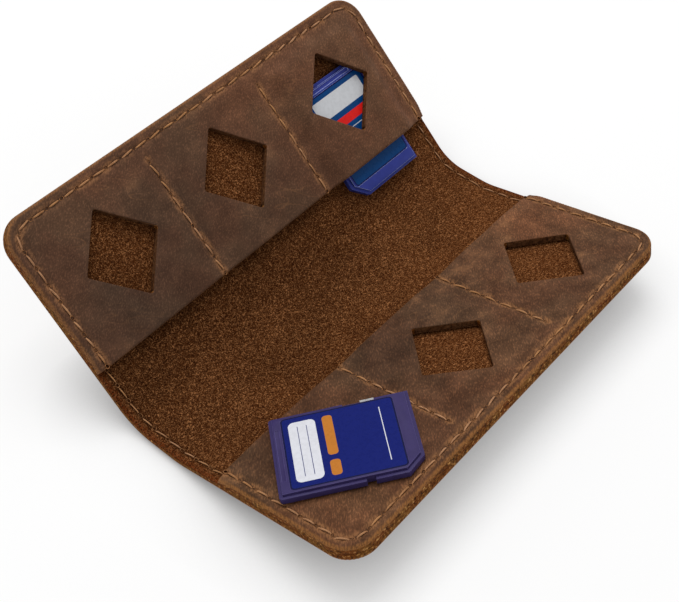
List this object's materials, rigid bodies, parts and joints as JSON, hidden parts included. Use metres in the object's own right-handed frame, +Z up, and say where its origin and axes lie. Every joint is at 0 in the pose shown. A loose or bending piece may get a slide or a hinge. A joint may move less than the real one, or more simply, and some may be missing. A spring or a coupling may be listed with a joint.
{
  "type": "memory card case",
  "caption": "Bifold leather memory card case with stitched pockets, diamond windows, a soft spine that folds flat or shut, a stored card and a loose card.",
  "frame": {"origin": "middle of the spine's length, on the surface that the spine stands on, midway between the two fold lines", "axes": "+X along the spine, +Y towards the steeper flap, +Z up"},
  "size_m": [0.12, 0.1071, 0.04],
  "materials": {
    "cover_leather": "oiled, suede side inwards",
    "panel_leather": "oiled grain, rubbed",
    "thread": "waxed thread",
    "card_shell": "moulded, satin",
    "card_label": "printed film, bare of words",
    "card_contacts": "gold plated",
    "card_board": "solder mask",
    "card_chip": "moulded",
    "card_lock": "moulded, satin"
  },
  "bodies": {
    "spine": {"cover_spine": "cover_leather", "right_crease": "cover_leather", "left_crease": "cover_leather", "spine_seam": "thread"},
    "right_half": {"right_cover_leaf": "cover_leather", "right_pocket_panel": "panel_leather", "right_edge_seam": "thread", "right_divider_seams": "thread"},
    "left_half": {"left_cover_leaf": "cover_leather", "left_pocket_panel": "panel_leather", "left_edge_seam": "thread", "left_divider_seams": "thread"},
    "stored_card": {"stored_card_lower_shell": "card_shell", "stored_card_upper_shell": "card_shell", "stored_card_board": "card_board", "stored_card_contacts": "card_contacts", "stored_card_memory_chip": "card_chip", "stored_card_label": "card_label"},
    "stored_card_lock": {"stored_card_lock": "card_lock"},
    "loose_card": {"loose_card_lower_shell": "card_shell", "loose_card_upper_shell": "card_shell", "loose_card_board": "card_board", "loose_card_contacts": "card_contacts", "loose_card_memory_chip": "card_chip", "loose_card_label": "card_label"},
    "loose_card_lock": {"loose_card_lock": "card_lock"}
  },
  "joints": [
    {"name": "right_fold", "type": "hinge", "parent": "spine", "child": "right_half", "pos_m": [0, -0.00683, 0.0022], "axis": [-1, 0, 0], "range_deg": [-13.76, 76.24], "deforming": ["right_crease", "spine_seam"]},
    {"name": "left_fold", "type": "hinge", "parent": "spine", "child": "left_half", "pos_m": [0, 0.00683, 0.0022], "axis": [1, 0, 0], "range_deg": [-42.24, 47.76], "deforming": ["left_crease", "spine_seam"]},
    {"name": "stored_card_slide", "type": "slide", "parent": "left_half", "child": "stored_card", "axis": [0, -0.7403, -0.6722], "range_m": [-0.0066, 0.003]},
    {"name": "stored_card_lock_slide", "type": "slide", "parent": "stored_card", "child": "stored_card_lock", "axis": [0, 0.7403, 0.6722], "range_m": [0, 0.004]},
    {"name": "loose_card_slide", "type": "slide", "parent": "right_half", "child": "loose_card", "axis": [-1, 0, 0], "range_m": [0, 0.045]},
    {"name": "loose_card_lock_slide", "type": "slide", "parent": "loose_card", "child": "loose_card_lock", "axis": [-0.7604, 0.6308, -0.1545], "range_m": [0, 0.004]}
  ]
}
